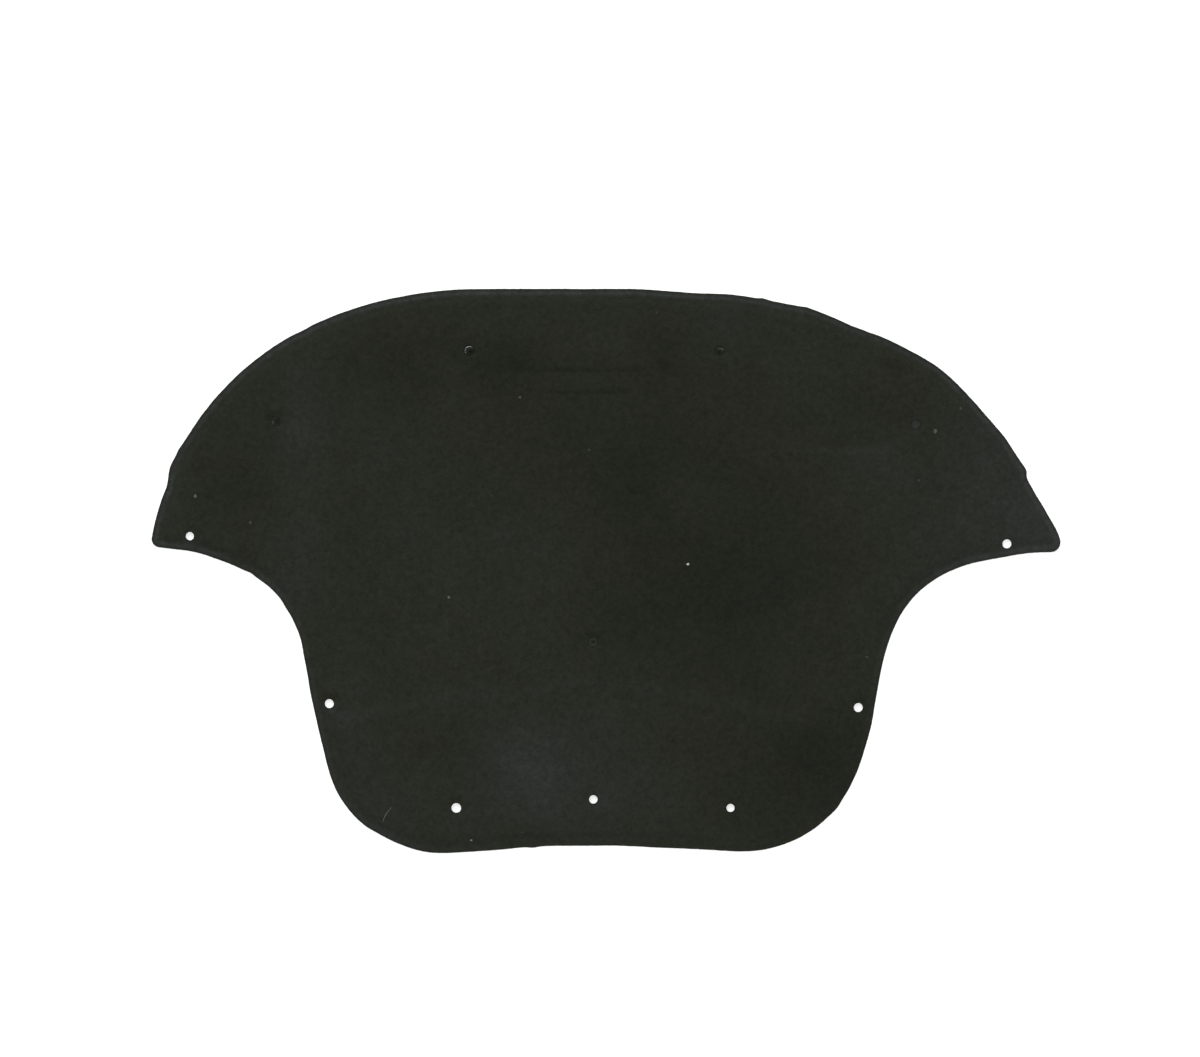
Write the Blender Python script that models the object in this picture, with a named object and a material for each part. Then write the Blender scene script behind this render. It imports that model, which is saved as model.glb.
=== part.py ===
"""Moulded felt insulation pad for the inside of a car hood, lying on the side that goes against the hood.

Metres. +Z comes out of the face that shows, +Y runs to the pad's wide rear edge and +X to its right.
The pad is one felt blank: cut to its outline, pressed thin round the rim, creased, and punched for its clips.
"""

import math
from dataclasses import dataclass, field

import bmesh
import bpy
import numpy as np
from mathutils import Matrix, Vector
from mathutils.geometry import delaunay_2d_cdt, interpolate_bezier

# Outline sizes, taken from the centreline of the clip pattern.
# The pad was trimmed a little unevenly about it.
REAR_TO_FRONT = 0.6766
LEFT_WING_REACH = 0.5313
RIGHT_WING_REACH = 0.5656
LEFT_WING_DROP = 0.3076
RIGHT_WING_DROP = 0.3156
LEFT_TIP_RADIUS = 0.0092
RIGHT_TIP_RADIUS = 0.0115
LEFT_WAIST = 0.3366
RIGHT_WAIST = 0.3376
WAIST_TO_FRONT = 0.1783
LEFT_FRONT_REACH = 0.1858
RIGHT_FRONT_REACH = 0.1673
RIGHT_FRONT_TRIM = 0.0020
FRONT_HOLLOW = 0.0086
REAR_CROWN = 0.036
FRONT_CROWN = -0.044

# Section of the felt.
PAD_THICKNESS = 0.0080
RIM_THICKNESS = 0.0030
RIM_WIDTH = 0.0095
SHOULDER_WIDTH = 0.0080

# Clip points. An inset is taken inward from the wing's sharp corner, the waist or an edge.
CLIP_HOLE = 0.0110
LEFT_WING_CLIP_INSET = 0.0470
RIGHT_WING_CLIP_INSET = 0.0693
LEFT_WING_CLIP_RISE = 0.0111
RIGHT_WING_CLIP_RISE = 0.0099
WAIST_CLIP_INSET = 0.0197
LEFT_WAIST_CLIP_RISE = 0.0008
RIGHT_WAIST_CLIP_RISE = -0.0038
FRONT_CLIP_SPACING = 0.3291
FRONT_CLIP_INSET = 0.0540
FRONT_MIDDLE_CLIP_INSET = 0.0556
MIDDLE_CLIP_INSET = 0.2531
LEFT_REAR_CLIP_REACH = 0.1488
RIGHT_REAR_CLIP_REACH = 0.1518
REAR_CLIP_INSET = 0.0740
LEFT_SHOULDER_CLIP_INSET = 0.1503
RIGHT_SHOULDER_CLIP_INSET = 0.1792
LEFT_SHOULDER_CLIP_RISE = 0.1487
RIGHT_SHOULDER_CLIP_RISE = 0.1525

# Slugs that the punch left hanging in their holes by a bridge of felt.
SLUG_THICKNESS = 0.0030
SLUG_SINK = 0.0002
SLUG_CLEARANCE = 0.0003
KERF = 0.0006
HINGE_SHARE = 0.25
BRIDGE_WIDTH = 0.0040
BRIDGE_THICKNESS = 0.0012
BRIDGE_RISE = 0.0003
BRIDGE_REACH = 0.0016
BRIDGE_ROOT = 0.0010
PILOT_DIAMETER = 0.0032
PILOT_DEPTH = 0.0014

# Folds and press marks in the face. An inset is taken inward from the waist or the rear edge.
FOLD_HEIGHT = 0.0011
FOLD_HALF_WIDTH = 0.0150
LEFT_FOLD_INSET = 0.0360
RIGHT_FOLD_INSET = 0.0540
FOLD_TO_FRONT = 0.1580
FOLD_RISE = 0.0490
WRINKLE_HEIGHT = 0.0008
WRINKLE_HALF_WIDTH = 0.0130
PRESS_LINE_DEPTH = 0.0010
PRESS_LINE_HALF_WIDTH = 0.0036
PRESS_LINE_INSET = 0.0970
PRESS_LINE_PITCH = 0.0264
LONG_PRESS_LINE = 0.1560
SHORT_PRESS_LINE = 0.1200
FOLD_TAPER = 0.0300

# Facets. A clearance keeps the face's own points off the shoulder, the folds' lines and the holes.
OUTLINE_STEP = 0.0200
OUTLINE_TURN = 4.5
RING_STEP = 0.0090
RING_SLACK = 0.0001
FACE_GRID = 0.0220
SHOULDER_CLEARANCE = 0.0088
FOLD_CLEARANCE = 0.0066
HOLE_CLEARANCE = 0.0060
RING_SHARES = (0.0, 0.25, 0.5, 0.75, 1.0)
RAIL_SHARES = (-1.0, -0.5, 0.0, 0.5, 1.0)
HOLE_SIDES = 24
SMOOTH_ANGLE = 35.0

FELT_BLACK = (0.0212, 0.0229, 0.0176, 1.0)
FELT_ROUGHNESS = 0.96

REAR_Y = REAR_TO_FRONT / 2
FRONT_Y = -REAR_TO_FRONT / 2
WAIST_Y = FRONT_Y + WAIST_TO_FRONT


@dataclass
class Half:
    """One half of the outline, from the middle of the rear edge out round the wing and in along the front.

    Each blend is a list of landmarks between two corners of the half: the share of the way across, the share
    of the way forward, and the edge's heading there in degrees, where 0 runs outward and -90 to the front.
    """

    side: int
    reach: float
    drop: float
    tip_radius: float
    tip_headings: tuple
    waist: float
    waist_heading: float
    front_reach: float
    front_trim: float
    front_heading: float
    wing: list = field(default_factory=list)
    arch: list = field(default_factory=list)
    corner: list = field(default_factory=list)

    @property
    def tip(self):
        return np.array([self.reach, REAR_Y - self.drop])

    @property
    def waist_point(self):
        return np.array([self.waist, WAIST_Y])

    @property
    def front_point(self):
        return np.array([self.front_reach, FRONT_Y + self.front_trim])

    def place(self, start, out, up):
        """A plan point that lies so far outward and rearward of one of the half's own corners."""
        return np.array([self.side * (start[0] + out), start[1] + up])

    def spot(self, across, down):
        """A plan point by its shares of the way out to the wing's sharp corner and down to its level."""
        return np.array([self.side * across * self.reach, REAR_Y - down * self.drop])


LEFT = Half(
    side=-1,
    reach=LEFT_WING_REACH,
    drop=LEFT_WING_DROP,
    tip_radius=LEFT_TIP_RADIUS,
    tip_headings=(-80.8, -168.9),
    waist=LEFT_WAIST,
    waist_heading=-102.3,
    front_reach=LEFT_FRONT_REACH,
    front_trim=0.0,
    front_heading=-180.1,
    wing=[
        (0.266, 0.001, -0.3),
        (0.606, 0.119, -22.5),
        (0.900, 0.531, -56.4),
        (0.957, 0.700, -68.1),
        (0.963, 0.766, -68.1),
    ],
    arch=[(0.326, 0.055, -161.6), (0.813, 0.353, -125.8)],
    corner=[(0.113, 0.404, -103.5), (0.488, 0.855, -150.8)],
)

RIGHT = Half(
    side=1,
    reach=RIGHT_WING_REACH,
    drop=RIGHT_WING_DROP,
    tip_radius=RIGHT_TIP_RADIUS,
    tip_headings=(-69.0, -181.0),
    waist=RIGHT_WAIST,
    waist_heading=-100.5,
    front_reach=RIGHT_FRONT_REACH,
    front_trim=RIGHT_FRONT_TRIM,
    front_heading=-183.6,
    wing=[
        (0.254, 0.018, -0.7),
        (0.439, 0.067, -9.8),
        (0.553, 0.144, -22.3),
        (0.641, 0.206, -27.8),
        (0.760, 0.341, -43.7),
        (0.9185, 0.690, -57.0),
        (0.9195, 0.716, -66.0),
    ],
    arch=[(0.397, 0.049, -170.7), (0.809, 0.315, -130.3)],
    corner=[(0.379, 0.810, -140.4)],
)


def direction(degrees):
    return np.array([math.cos(math.radians(degrees)), math.sin(math.radians(degrees))])


def blend(start, end, shares):
    """Landmarks placed by their shares of the way from one corner to the next."""
    return [(start + (end - start) * (across, down), heading) for across, down, heading in shares]


def tip_landmarks(half):
    """Both ends of the arc that rounds the wing's sharp corner."""
    heading_in, heading_out = half.tip_headings
    reach = half.tip_radius * math.tan(math.radians(heading_in - heading_out) / 2)
    return [
        (half.tip - reach * direction(heading_in), heading_in),
        (half.tip + reach * direction(heading_out), heading_out),
    ]


def half_landmarks(half):
    rear = np.array([0.0, REAR_Y])
    return [
        *blend(rear, half.tip, half.wing),
        *tip_landmarks(half),
        *blend(half.tip, half.waist_point, half.arch),
        (half.waist_point, half.waist_heading),
        *blend(half.waist_point, half.front_point, half.corner),
        (half.front_point, half.front_heading),
    ]


def outline_landmarks():
    """Round the whole pad clockwise, seen from above the face."""
    left = [(point * (-1, 1), -heading) for point, heading in reversed(half_landmarks(LEFT))]
    return [
        (np.array([REAR_CROWN, REAR_Y]), 0.0),
        *half_landmarks(RIGHT),
        (np.array([FRONT_CROWN, FRONT_Y + FRONT_HOLLOW]), 180.0),
        *left,
    ]


def edge_between(start, end):
    """Points along the edge from one landmark up to the next, on a curve that turns evenly between them."""
    (here, heading), (there, next_heading) = start, end
    chord = np.linalg.norm(there - here)
    turn = (next_heading - heading + 180) % 360 - 180
    handle = chord / (3 * math.cos(math.radians(turn) / 4) ** 2)
    steps = max(2, math.ceil(abs(turn) / OUTLINE_TURN), math.ceil(chord / OUTLINE_STEP))
    points = interpolate_bezier(
        Vector(here),
        Vector(here + handle * direction(heading)),
        Vector(there - handle * direction(next_heading)),
        Vector(there),
        steps + 1,
    )
    return [(point.x, point.y) for point in points[:-1]]


def outline_points():
    landmarks = outline_landmarks()
    points = []
    for start, end in zip(landmarks, landmarks[1:] + landmarks[:1]):
        points += edge_between(start, end)
    return np.array(points)


def smooth_path(points, step=FACE_GRID):
    """Points along a smooth curve through a few places."""
    points = np.array(points, float)
    tangents = np.gradient(points, axis=0)
    path = []
    for here, there, lead, trail in zip(points, points[1:], tangents, tangents[1:]):
        steps = max(2, math.ceil(np.linalg.norm(there - here) / step))
        curve = interpolate_bezier(
            Vector(here), Vector(here + lead / 3), Vector(there - trail / 3), Vector(there), steps + 1
        )
        path += [(point.x, point.y) for point in curve[:-1]]
    return np.array([*path, points[-1]])


def nearest_on(points, path, closed=False):
    """How far each point is from a path, and how far along the path its nearest place is."""
    ends = np.roll(path, -1, axis=0) if closed else path[1:]
    starts = path if closed else path[:-1]
    along = ends - starts
    lengths = np.linalg.norm(along, axis=1)
    offset = points[:, None] - starts[None]
    share = np.clip((offset * along).sum(2) / lengths**2, 0, 1)
    distance = np.linalg.norm(offset - share[..., None] * along, axis=2)
    best = distance.argmin(axis=1)
    rows = np.arange(len(points))
    before = np.concatenate([[0], np.cumsum(lengths)[:-1]])
    return distance[rows, best], before[best] + share[rows, best] * lengths[best]


def inside(points, outline):
    """Whether each point lies within the outline, by the edges that a line to its right crosses."""
    ends = np.roll(outline, -1, axis=0)
    above = outline[None, :, 1] > points[:, None, 1]
    above_end = ends[None, :, 1] > points[:, None, 1]
    rise = ends[:, 1] - outline[:, 1]
    rise = np.where(rise == 0, 1e-12, rise)
    crossing = outline[:, 0] + (points[:, None, 1] - outline[:, 1]) / rise * (ends[:, 0] - outline[:, 0])
    return ((above != above_end) & (points[:, None, 0] < crossing)).sum(axis=1) % 2 == 1


def even_steps(outline, step):
    """Points spaced evenly round the outline."""
    ends = np.vstack([outline, outline[:1]])
    along = np.concatenate([[0], np.cumsum(np.linalg.norm(np.diff(ends, axis=0), axis=1))])
    stops = np.linspace(0, along[-1], round(along[-1] / step), endpoint=False)
    return np.column_stack([np.interp(stops, along, ends[:, axis]) for axis in (0, 1)])


def inset_ring(outline, inset):
    """A ring inside the outline, without the points that a tight corner would fold over."""
    spaced = even_steps(outline, RING_STEP)
    ahead = np.roll(spaced, -1, axis=0) - np.roll(spaced, 1, axis=0)
    inward = np.column_stack([ahead[:, 1], -ahead[:, 0]]) / np.linalg.norm(ahead, axis=1)[:, None]
    ring = spaced + inset * inward
    distance, _ = nearest_on(ring, outline, closed=True)
    return ring[distance > inset - RING_SLACK]


def smoothstep(value):
    value = np.clip(value, 0, 1)
    return value * value * (3 - 2 * value)


@dataclass
class Fold:
    """A soft ridge, or a pressed line where its height is negative, along a path in the face."""

    path: np.ndarray
    height: float
    half_width: float

    def rails(self):
        """Lines along the fold, at shares of its half-width to each side."""
        ahead = np.gradient(self.path, axis=0)
        across = np.column_stack([-ahead[:, 1], ahead[:, 0]]) / np.linalg.norm(ahead, axis=1)[:, None]
        return [self.path + share * self.half_width * across for share in RAIL_SHARES]

    def lift(self, points):
        distance, along = nearest_on(points, self.path)
        _, ends = nearest_on(self.path[-1:], self.path)
        taper = smoothstep(np.minimum(along, ends[0] - along) / min(FOLD_TAPER, ends[0] / 2))
        wave = 0.5 + 0.5 * np.cos(math.pi * np.clip(distance / self.half_width, 0, 1))
        return self.height * wave * taper


def main_fold():
    """The long arched fold across the pad, just behind the waist clips."""
    left, right = LEFT_WAIST - LEFT_FOLD_INSET, RIGHT_WAIST - RIGHT_FOLD_INSET
    level = FRONT_Y + FOLD_TO_FRONT
    places = [
        (-1.00 * left, level),
        (-0.56 * left, level + 0.60 * FOLD_RISE),
        (-0.30 * left, level + 0.62 * FOLD_RISE),
        (-0.04 * left, level + FOLD_RISE),
        (0.22 * right, level + 0.78 * FOLD_RISE),
        (0.46 * right, level + 0.54 * FOLD_RISE),
        (1.00 * right, level - 0.12 * FOLD_RISE),
    ]
    return Fold(smooth_path(places), FOLD_HEIGHT, FOLD_HALF_WIDTH)


def shoulder_wrinkle():
    """The short wrinkle across the right shoulder, in front of its clip point."""
    places = [RIGHT.spot(0.379, 0.598), RIGHT.spot(0.560, 0.623), RIGHT.spot(0.676, 0.585)]
    return Fold(smooth_path(places), WRINKLE_HEIGHT, WRINKLE_HALF_WIDTH)


def wing_wrinkle():
    """The short wrinkle down the left wing, inboard of its clip point."""
    places = [LEFT.spot(0.665, 0.392), LEFT.spot(0.669, 0.545), LEFT.spot(0.657, 0.707)]
    return Fold(smooth_path(places), WRINKLE_HEIGHT, WRINKLE_HALF_WIDTH)


def press_line(order, length):
    """One of the straight marks behind the rear edge that the mould pressed into the face."""
    y = REAR_Y - PRESS_LINE_INSET - order * PRESS_LINE_PITCH
    ends = [(-length / 2, y), (0.0, y), (length / 2, y)]
    return Fold(smooth_path(ends), -PRESS_LINE_DEPTH, PRESS_LINE_HALF_WIDTH)


def face_height(points, outline, folds):
    """Height of the face over the pad's back: rim, rounded shoulder, then full thickness with its folds."""
    distance, _ = nearest_on(points, outline, closed=True)
    shoulder = smoothstep((distance - RIM_WIDTH) / SHOULDER_WIDTH)
    height = RIM_THICKNESS + (PAD_THICKNESS - RIM_THICKNESS) * shoulder
    for fold in folds:
        height = height + shoulder * fold.lift(points)
    return height


def loop_edges(first, count):
    return [(first + n, first + (n + 1) % count) for n in range(count)]


def line_edges(first, count):
    return [(first + n, first + n + 1) for n in range(count - 1)]


def punched_ring(place):
    """The round hole that a clip punch makes."""
    turns = np.linspace(0, 2 * math.pi, HOLE_SIDES, endpoint=False)
    return place + CLIP_HOLE / 2 * np.column_stack([np.cos(turns), np.sin(turns)])


def within_hole(points, places, margin=0.0):
    """Whether each point lies in one of the clip holes, or nearer to it than the margin."""
    away = np.linalg.norm(points[:, None] - np.array(places)[None], axis=2)
    return away.min(axis=1) < CLIP_HOLE / 2 + margin


def face_grid(outline, folds, places):
    """Points spread over the face, clear of the shoulder, the folds' own lines and the clip holes."""
    low, high = outline.min(axis=0), outline.max(axis=0)
    columns = np.arange(low[0], high[0], FACE_GRID)
    rows = np.arange(low[1], high[1], FACE_GRID * math.sqrt(0.75))
    grid = np.array([(x + (n % 2) * FACE_GRID / 2, y) for n, y in enumerate(rows) for x in columns])
    grid = grid[inside(grid, outline)]
    distance, _ = nearest_on(grid, outline, closed=True)
    grid = grid[distance > RIM_WIDTH + SHOULDER_WIDTH + SHOULDER_CLEARANCE]
    for fold in folds:
        distance, _ = nearest_on(grid, fold.path)
        grid = grid[distance > fold.half_width + FOLD_CLEARANCE]
    return grid[~within_hole(grid, places, HOLE_CLEARANCE)]


def plan_triangles(outline, folds, places):
    """The pad's plan, punched, and triangulated along its outline, its shoulder, its folds and its holes."""
    points = list(outline)
    edges = loop_edges(0, len(outline))
    rings = [inset_ring(outline, RIM_WIDTH + share * SHOULDER_WIDTH) for share in RING_SHARES]
    rings += [punched_ring(place) for place in places]
    for ring in rings:
        edges += loop_edges(len(points), len(ring))
        points += list(ring)
    for fold in folds:
        for rail in fold.rails():
            distance, _ = nearest_on(rail, outline, closed=True)
            rail = rail[inside(rail, outline) & (distance > RIM_WIDTH + SHOULDER_WIDTH)]
            edges += line_edges(len(points), len(rail))
            points += list(rail)
    points += list(face_grid(outline, folds, places))
    made = delaunay_2d_cdt([Vector(point) for point in points], edges, [], 1, 1e-6)
    plan = np.array([tuple(point) for point in made[0]])
    faces = np.array(made[2])
    kept = faces[~within_hole(plan[faces].mean(axis=1), places)]
    used, numbers = np.unique(kept, return_inverse=True)
    return plan[used], numbers.reshape(kept.shape).tolist()


def pressed_blank(outline, folds, places, shift):
    """The punched pad without its slugs: its plan raised to the pressed face, on a flat back."""
    plan, faces = plan_triangles(outline, folds, places)
    height = face_height(plan, outline, folds)
    blank = bmesh.new()
    order = blank.verts.layers.int.new("order")
    back = [blank.verts.new((x, y, 0.0)) for x, y in plan - shift]
    for number, vert in enumerate(back):
        vert[order] = number
    back_faces = [blank.faces.new([back[n] for n in face]) for face in faces]
    raised = bmesh.ops.extrude_face_region(blank, geom=back_faces, use_keep_orig=True)
    for item in raised["geom"]:
        if isinstance(item, bmesh.types.BMVert):
            item.co.z = height[item[order]]
    flat = [edge for edge in blank.edges if all(abs(vert.co.z) < 1e-6 for vert in edge.verts)]
    bmesh.ops.recalc_face_normals(blank, faces=blank.faces)
    bmesh.ops.dissolve_limit(blank, angle_limit=math.radians(1), edges=flat)
    mesh = bpy.data.meshes.new("hood_pad")
    blank.to_mesh(mesh)
    blank.free()
    return mesh


@dataclass
class Slug:
    """A slug that the punch didn't clear: where it is, which way its bridge lies and how far it swung down.

    The swing is a share of the way to the pad's back, and a slug that stands proud has a negative one.
    """

    place: np.ndarray
    bridge: float
    swing: float
    pilot: bool = False


def clip_holes():
    """Plan places of the holes that were punched clear."""
    front = np.array([FRONT_CLIP_SPACING / 2, FRONT_Y])
    return {
        "left_wing": LEFT.place(LEFT.tip, -LEFT_WING_CLIP_INSET, LEFT_WING_CLIP_RISE),
        "right_wing": RIGHT.place(RIGHT.tip, -RIGHT_WING_CLIP_INSET, RIGHT_WING_CLIP_RISE),
        "left_waist": LEFT.place(LEFT.waist_point, -WAIST_CLIP_INSET, LEFT_WAIST_CLIP_RISE),
        "right_waist": RIGHT.place(RIGHT.waist_point, -WAIST_CLIP_INSET, RIGHT_WAIST_CLIP_RISE),
        "left_front": LEFT.place(front, 0.0, FRONT_CLIP_INSET),
        "right_front": RIGHT.place(front, 0.0, FRONT_CLIP_INSET),
        "middle_front": np.array([0.0, FRONT_Y + FRONT_HOLLOW + FRONT_MIDDLE_CLIP_INSET]),
    }


def clip_slugs():
    """The clip points along the rear edge and in the middle, each with its slug still in it."""
    rear = np.array([0.0, REAR_Y - REAR_CLIP_INSET])
    left_rear = LEFT.place(rear, LEFT_REAR_CLIP_REACH, 0.0)
    right_rear = RIGHT.place(rear, RIGHT_REAR_CLIP_REACH, 0.0)
    left_shoulder = LEFT.place(LEFT.tip, -LEFT_SHOULDER_CLIP_INSET, LEFT_SHOULDER_CLIP_RISE)
    right_shoulder = RIGHT.place(RIGHT.tip, -RIGHT_SHOULDER_CLIP_INSET, RIGHT_SHOULDER_CLIP_RISE)
    middle = np.array([0.0, FRONT_Y + MIDDLE_CLIP_INSET])
    return {
        "left_rear": Slug(left_rear, bridge=-45.0, swing=0.95),
        "right_rear": Slug(right_rear, bridge=225.0, swing=0.6),
        "left_shoulder": Slug(left_shoulder, bridge=0.0, swing=0.5),
        "right_shoulder": Slug(right_shoulder, bridge=90.0, swing=-0.20),
        "middle": Slug(middle, bridge=90.0, swing=0.04, pilot=True),
    }


def helper(name, shape, collection):
    """A mesh object that a Boolean reads and a render leaves out."""
    bmesh.ops.recalc_face_normals(shape, faces=shape.faces)
    mesh = bpy.data.meshes.new(name)
    shape.to_mesh(mesh)
    shape.free()
    made = bpy.data.objects.new(name, mesh)
    made.hide_render = True
    made.display_type = "WIRE"
    collection.objects.link(made)
    return made


def wall_frame(slug, place):
    """On the wall of the slug's hole beside its bridge, with +X pointing into the pad."""
    turned = Matrix.Rotation(math.radians(slug.bridge), 4, "Z")
    return Matrix.Translation((*place, 0)) @ turned @ Matrix.Translation((CLIP_HOLE / 2, 0, 0))


def slug_tilt(slug):
    room = PAD_THICKNESS - SLUG_THICKNESS - SLUG_SINK - SLUG_CLEARANCE
    return math.asin(slug.swing * room / (CLIP_HOLE - 2 * KERF))


def slug_underside(slug):
    """Height of the slug's lower edge at its bridge, where its upper edge stays just below the face."""
    return PAD_THICKNESS - SLUG_SINK - SLUG_THICKNESS * math.cos(slug_tilt(slug))


def slug_disc(name, slug, place, collection):
    """The slug, swung about its lower edge at the bridge, and drawn to that side of its hole."""
    tilt = slug_tilt(slug)
    diameter = CLIP_HOLE - 2 * KERF
    lean = SLUG_THICKNESS * math.sin(tilt)
    spare = CLIP_HOLE - diameter * math.cos(tilt) - abs(lean)
    edge = Matrix.Translation((-HINGE_SHARE * spare + min(lean, 0), 0, slug_underside(slug)))
    swung = wall_frame(slug, place) @ edge @ Matrix.Rotation(-tilt, 4, "Y")
    shape = bmesh.new()
    bmesh.ops.create_cone(
        shape,
        cap_ends=True,
        segments=HOLE_SIDES,
        radius1=diameter / 2,
        radius2=diameter / 2,
        depth=SLUG_THICKNESS,
        matrix=swung @ Matrix.Translation((-diameter / 2, 0, SLUG_THICKNESS / 2)),
    )
    return helper(name, shape, collection)


def slug_bridge(name, slug, place, collection):
    """The felt that the punch left uncut, from inside the slug to inside the wall of its hole."""
    size = (BRIDGE_REACH + BRIDGE_ROOT, BRIDGE_WIDTH, BRIDGE_THICKNESS)
    height = slug_underside(slug) + BRIDGE_RISE + BRIDGE_THICKNESS / 2
    centre = Matrix.Translation(((BRIDGE_ROOT - BRIDGE_REACH) / 2, 0, height))
    shape = bmesh.new()
    bmesh.ops.create_cube(
        shape, size=1.0, matrix=wall_frame(slug, place) @ centre @ Matrix.Diagonal((*size, 1.0))
    )
    return helper(name, shape, collection)


def pilot_mark(name, place, collection):
    """The dent of the punch's centre point."""
    over = PAD_THICKNESS / 4
    slope = PILOT_DIAMETER / 2 / PILOT_DEPTH
    shape = bmesh.new()
    bmesh.ops.create_cone(
        shape,
        cap_ends=True,
        segments=HOLE_SIDES // 2,
        radius1=0.0,
        radius2=slope * (PILOT_DEPTH + over),
        depth=PILOT_DEPTH + over,
        matrix=Matrix.Translation((*place, PAD_THICKNESS + (over - PILOT_DEPTH) / 2)),
    )
    return helper(name, shape, collection)


def felt_material():
    felt = bpy.data.materials.new("black_felt")
    felt.use_nodes = True
    finish = felt.node_tree.nodes["Principled BSDF"]
    finish.inputs["Base Color"].default_value = FELT_BLACK
    finish.inputs["Roughness"].default_value = FELT_ROUGHNESS
    finish.inputs["Metallic"].default_value = 0.0
    return felt


def add_boolean(pad, name, operation, collection):
    cut = pad.modifiers.new(name, "BOOLEAN")
    cut.operation = operation
    cut.operand_type = "COLLECTION"
    cut.collection = collection
    cut.solver = "EXACT"


def clear_scene():
    for old in list(bpy.data.objects):
        bpy.data.objects.remove(old, do_unlink=True)


def new_collection(name):
    made = bpy.data.collections.new(name)
    bpy.context.scene.collection.children.link(made)
    return made


def build_pad():
    parts = new_collection("hood_insulation_pad")
    slugs = new_collection("hanging_slugs")
    marks = new_collection("pilot_marks")
    outline = outline_points()
    shift = (outline.min(axis=0) + outline.max(axis=0)) / 2
    folds = [
        main_fold(),
        shoulder_wrinkle(),
        wing_wrinkle(),
        press_line(0, LONG_PRESS_LINE),
        press_line(1, SHORT_PRESS_LINE),
    ]
    hanging = clip_slugs()
    places = [*clip_holes().values(), *(slug.place for slug in hanging.values())]
    pad = bpy.data.objects.new("hood_pad", pressed_blank(outline, folds, places, shift))
    parts.objects.link(pad)
    for name, slug in hanging.items():
        place = slug.place - shift
        slug_disc(f"slug_{name}", slug, place, slugs)
        slug_bridge(f"bridge_{name}", slug, place, slugs)
        if slug.pilot:
            pilot_mark(f"pilot_{name}", place, marks)
    add_boolean(pad, "hanging_slugs", "UNION", slugs)
    add_boolean(pad, "pilot_marks", "DIFFERENCE", marks)
    pad.data.materials.append(felt_material())
    pad.data.shade_smooth()
    pad.data.set_sharp_from_angle(angle=math.radians(SMOOTH_ANGLE))
    return pad


clear_scene()
build_pad()
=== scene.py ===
import math
import random

import bmesh
import bpy
import numpy as np
from mathutils import Matrix, Vector, noise
from mathutils.geometry import delaunay_2d_cdt
from mathutils.kdtree import KDTree


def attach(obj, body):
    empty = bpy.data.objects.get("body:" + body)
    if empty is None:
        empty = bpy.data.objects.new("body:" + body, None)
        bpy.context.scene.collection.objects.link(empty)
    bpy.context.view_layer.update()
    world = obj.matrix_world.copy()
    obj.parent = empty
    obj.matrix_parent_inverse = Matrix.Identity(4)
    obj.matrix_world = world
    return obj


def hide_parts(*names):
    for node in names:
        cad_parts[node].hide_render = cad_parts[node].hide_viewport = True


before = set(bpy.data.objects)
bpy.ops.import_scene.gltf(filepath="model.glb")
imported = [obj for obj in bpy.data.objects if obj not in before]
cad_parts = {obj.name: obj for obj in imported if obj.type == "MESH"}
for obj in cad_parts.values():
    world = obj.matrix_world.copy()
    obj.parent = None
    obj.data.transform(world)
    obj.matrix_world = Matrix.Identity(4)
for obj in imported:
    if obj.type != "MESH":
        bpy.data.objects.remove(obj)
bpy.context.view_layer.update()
print("frame loaded")

dice = random.Random(27)
noise.seed_set(27)


# shaping helpers

def smoothStep(value):
    value = np.clip(value, 0, 1)
    return value * value * (3 - 2 * value)


def ripple(spots, pitch, layer):
    # soft noise from -1 to 1 over the plan, one layer of it for each use
    return np.array([noise.noise(Vector((x / pitch, y / pitch, layer * 7.31))) for x, y in spots])


def treeOf(spots):
    tree = KDTree(len(spots))
    for number, (x, y) in enumerate(spots):
        tree.insert((x, y, 0), number)
    tree.balance()
    return tree


def nearest(tree, spots):
    found = [tree.find((x, y, 0)) for x, y in spots]
    return np.array([hit[2] for hit in found]), np.array([hit[1] for hit in found])


def backLoops(node):
    # edges of the flat back, each in order: the outline first, then the clip holes
    mesh = bmesh.new()
    mesh.from_mesh(node.data)
    bmesh.ops.remove_doubles(mesh, verts=mesh.verts, dist=1e-5)
    mesh.verts.ensure_lookup_table()
    flat = [face for face in mesh.faces if max(abs(vert.co.z) for vert in face.verts) < 1e-5]
    onBack = set(flat)
    following = {}
    for face in flat:
        for corner in face.loops:
            if not any(other in onBack for other in corner.edge.link_faces if other != face):
                following[corner.vert.index] = corner.link_loop_next.vert.index
    loops = []
    while following:
        start = min(following)
        here, chain = start, []
        while here in following:
            chain.append(mesh.verts[here].co.xy[:])
            here = following.pop(here)
        loops.append(np.array(chain))
    mesh.free()
    return sorted(loops, key=len, reverse=True)


def smoothLoop(points, step):
    # a centripetal spline through the loop, with even steps between its points
    before, here, after, beyond = (np.roll(points, shift, axis=0) for shift in (1, 0, -1, -2))
    first, middle, last = (
        np.sqrt(np.linalg.norm(b - a, axis=1))[:, None]
        for a, b in ((before, here), (here, after), (after, beyond))
    )
    lead = ((here - before) / first - (after - before) / (first + middle) + (after - here) / middle) * middle
    trail = ((after - here) / middle - (beyond - here) / (middle + last) + (beyond - after) / last) * middle
    made = []
    for start, end, a, b in zip(here, after, lead, trail):
        count = max(1, round(np.linalg.norm(end - start) / step))
        t = np.arange(count)[:, None] / count
        made.append(
            (2 * t**3 - 3 * t**2 + 1) * start
            + (t**3 - 2 * t**2 + t) * a
            + (3 * t**2 - 2 * t**3) * end
            + (t**3 - t**2) * b
        )
    return np.vstack(made)


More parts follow.
